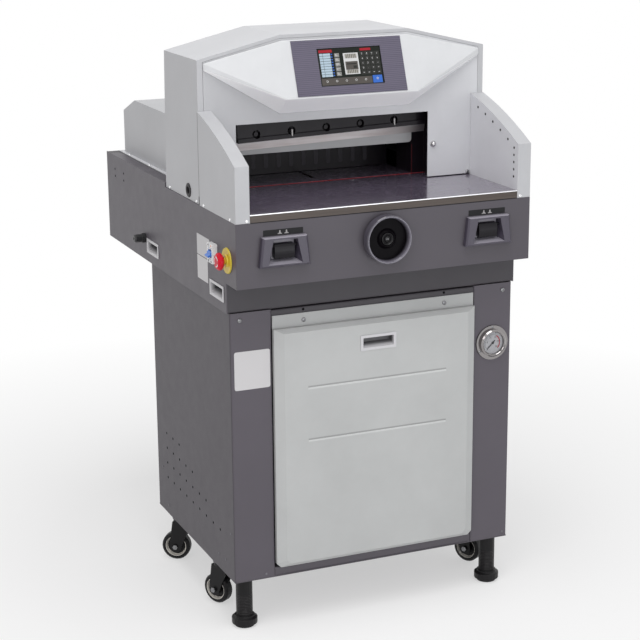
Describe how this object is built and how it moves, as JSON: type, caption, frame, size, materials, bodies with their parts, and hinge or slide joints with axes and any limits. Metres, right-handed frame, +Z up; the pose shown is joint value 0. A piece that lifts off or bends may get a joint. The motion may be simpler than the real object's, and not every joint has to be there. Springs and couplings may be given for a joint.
{
  "type": "stack paper cutter",
  "caption": "Floor-standing hydraulic guillotine for paper stacks, with knife and clamp under a hood, backgauge, side wings, touch panel and a stand on casters.",
  "frame": {"origin": "middle of the footprint at floor level", "axes": "+Z up, -Y towards the operator in front of the table, +X to the operator's right"},
  "size_m": [0.772, 1.018, 1.388],
  "materials": {
    "light_paint": "light cool grey powder coat, satin",
    "cover_paint": "light grey powder coat with a slight green cast, satin",
    "dark_paint": "dark grey powder coat, fine texture",
    "black_paint": "black enamel, semi-gloss",
    "black_plastic": "black, matt",
    "grey_plastic": "dark grey moulded plastic, satin",
    "light_plastic": "light grey moulded plastic, satin",
    "bezel": "dark grey panel with a purple cast and fine lines",
    "screen": "dark glossy display",
    "white_plastic": "white moulded plastic",
    "blue_plastic": "blue moulded plastic",
    "red_plastic": "red moulded plastic, glossy",
    "yellow_plastic": "yellow moulded plastic",
    "steel": "machined bright steel",
    "blade_steel": "ground blade steel",
    "table_steel": "dark polished steel",
    "chrome": "bright chrome",
    "rubber": "black, matt",
    "glass": "clear",
    "clamp_paint": "mid grey enamel"
  },
  "bodies": {
    "machine": {"body_side_left": "dark_paint", "body_side_right": "dark_paint", "body_tray": "dark_paint", "breaker_body": "white_plastic", "cable_gland": "black_plastic", "console_fairing": "light_paint", "control_bezel": "bezel", "cutting_stick": "red_plastic", "estop_plate": "yellow_plastic", "front_fascia": "dark_paint", "gauge_case": "chrome", "gauge_glass": "glass", "guide_beam": "black_paint", "hood_front_plate": "light_paint", "hood_shell": "light_paint", "hydraulic_unit": "black_paint", "main_table": "table_steel", "paddle_housing_left": "grey_plastic", "paddle_housing_right": "grey_plastic", "rear_housing": "light_paint", "screw_cradle": "dark_paint", "side_column_left": "black_paint", "side_column_right": "black_paint", "side_pull_front_left": "light_plastic", "side_pull_front_right": "light_plastic", "side_pull_rear_left": "light_plastic", "side_pull_rear_right": "light_plastic", "stand_base": "dark_paint", "stand_rear_panel": "dark_paint", "stand_side_left": "dark_paint", "stand_side_right": "dark_paint", "stand_top_rail": "dark_paint", "touch_screen": "screen", "wing_left": "light_paint", "wing_right": "light_paint"},
    "service_cover": {"front_cover": "cover_paint", "cover_pull": "light_plastic"},
    "foot_left": {"foot_left": "black_plastic"},
    "foot_right": {"foot_right": "black_plastic"},
    "breaker_handle": {"breaker_toggle": "blue_plastic"},
    "stop_plunger": {"estop_plunger": "black_plastic"},
    "stop_head": {"estop_head": "red_plastic"},
    "paddle_left": {"cut_paddle_left": "grey_plastic"},
    "paddle_right": {"cut_paddle_right": "grey_plastic"},
    "handwheel": {"handwheel": "grey_plastic"},
    "gauge_pointer": {"gauge_needle": "black_plastic"},
    "knife_shoe": {"knife_slide_block": "steel"},
    "knife": {"knife_carrier": "black_paint", "knife": "blade_steel"},
    "clamp": {"clamp_beam": "clamp_paint"},
    "backgauge": {"backgauge": "black_paint"},
    "leadscrew": {"leadscrew": "steel"},
    "fork_front_left": {"caster_fork_front_left": "black_paint"},
    "wheel_front_left": {"caster_wheel_front_left": "rubber"},
    "fork_front_right": {"caster_fork_front_right": "black_paint"},
    "wheel_front_right": {"caster_wheel_front_right": "rubber"},
    "fork_rear_left": {"caster_fork_rear_left": "black_paint"},
    "wheel_rear_left": {"caster_wheel_rear_left": "rubber"},
    "fork_rear_right": {"caster_fork_rear_right": "black_paint"},
    "wheel_rear_right": {"caster_wheel_rear_right": "rubber"}
  },
  "joints": [
    {"name": "knife_drop", "type": "slide", "parent": "machine", "child": "knife_shoe", "axis": [-0.2133, 0, -0.977], "range_m": [0, 0.0937]},
    {"name": "knife_level", "type": "hinge", "parent": "knife_shoe", "child": "knife", "pos_m": [-0.13575, -0.173, 1.3], "axis": [0, 1, 0], "range_deg": [0, 1.7]},
    {"name": "clamp_press", "type": "slide", "parent": "machine", "child": "clamp", "axis": [0, 0, -1], "range_m": [0, 0.0775]},
    {"name": "backgauge_travel", "type": "slide", "parent": "machine", "child": "backgauge", "axis": [0, 1, 0], "range_m": [-0.095, 0.35]},
    {"name": "leadscrew_spin", "type": "hinge", "parent": "machine", "child": "leadscrew", "pos_m": [-0.01925, -0.171, 0.975], "axis": [0, 1, 0], "continuous": true},
    {"name": "handwheel_spin", "type": "hinge", "parent": "machine", "child": "handwheel", "pos_m": [0.00725, -0.481, 0.9425], "axis": [0, -1, 0], "continuous": true},
    {"name": "paddle_left_press", "type": "hinge", "parent": "machine", "child": "paddle_left", "pos_m": [-0.24325, -0.484, 0.9505], "axis": [1, 0, 0], "range_deg": [0, 12], "stiffness_Nm_per_rad": 0.3, "springref_deg": -5.73},
    {"name": "paddle_right_press", "type": "hinge", "parent": "machine", "child": "paddle_right", "pos_m": [0.26975, -0.484, 0.9505], "axis": [1, 0, 0], "range_deg": [0, 12], "stiffness_Nm_per_rad": 0.3, "springref_deg": -5.73},
    {"name": "stop_press", "type": "slide", "parent": "machine", "child": "stop_plunger", "axis": [1, 0, 0], "range_m": [0, 0.005], "stiffness_N_per_m": 400, "springref_m": -0.003},
    {"name": "stop_twist", "type": "hinge", "parent": "stop_plunger", "child": "stop_head", "pos_m": [-0.35605, -0.424, 0.913], "axis": [-1, 0, 0], "range_deg": [0, 35], "stiffness_Nm_per_rad": 0.02},
    {"name": "breaker_switch", "type": "hinge", "parent": "machine", "child": "breaker_handle", "pos_m": [-0.36535, -0.341, 0.914], "axis": [0, 1, 0], "range_deg": [0, 60]},
    {"name": "gauge_pointer_turn", "type": "hinge", "parent": "machine", "child": "gauge_pointer", "pos_m": [0.32675, -0.4186, 0.6385], "axis": [0, 1, 0], "range_deg": [0, 270]},
    {"name": "foot_left_turn", "type": "hinge", "parent": "machine", "child": "foot_left", "pos_m": [-0.31475, -0.3765, 0], "axis": [0, 0, 1], "continuous": true},
    {"name": "foot_right_turn", "type": "hinge", "parent": "machine", "child": "foot_right", "pos_m": [0.34325, -0.3765, 0], "axis": [0, 0, 1], "continuous": true},
    {"name": "service_cover_off", "type": "slide", "parent": "machine", "child": "service_cover", "axis": [0, -1, 0], "range_m": [0, 0.12]},
    {"name": "swivel_front_left", "type": "hinge", "parent": "machine", "child": "fork_front_left", "pos_m": [-0.32075, -0.242, 0.11], "axis": [0, 0, 1], "continuous": true},
    {"name": "roll_front_left", "type": "hinge", "parent": "fork_front_left", "child": "wheel_front_left", "pos_m": [-0.32796, -0.23, 0.039], "axis": [0.8572, 0.515, 0], "continuous": true},
    {"name": "swivel_front_right", "type": "hinge", "parent": "machine", "child": "fork_front_right", "pos_m": [0.34925, -0.242, 0.11], "axis": [0, 0, 1], "continuous": true},
    {"name": "roll_front_right", "type": "hinge", "parent": "fork_front_right", "child": "wheel_front_right", "pos_m": [0.35625, -0.25412, 0.039], "axis": [-0.866, -0.5, 0], "continuous": true},
    {"name": "swivel_rear_left", "type": "hinge", "parent": "machine", "child": "fork_rear_left", "pos_m": [-0.32075, 0.0685, 0.11], "axis": [0, 0, 1], "continuous": true},
    {"name": "roll_rear_left", "type": "hinge", "parent": "fork_rear_left", "child": "wheel_rear_left", "pos_m": [-0.33249, 0.07612, 0.0375], "axis": [0.5446, 0.8387, 0], "continuous": true},
    {"name": "swivel_rear_right", "type": "hinge", "parent": "machine", "child": "fork_rear_right", "pos_m": [0.34925, 0.0685, 0.11], "axis": [0, 0, 1], "continuous": true},
    {"name": "roll_rear_right", "type": "hinge", "parent": "fork_rear_right", "child": "wheel_rear_right", "pos_m": [0.33646, 0.07419, 0.0375], "axis": [0.4067, 0.9135, 0], "continuous": true}
  ],
  "couplings": [
    {"joint": "knife_level", "follows": "knife_drop", "rad_per_m": 0.3164},
    {"joint": "leadscrew_spin", "follows": "backgauge_travel", "rad_per_m": 628.32}
  ]
}
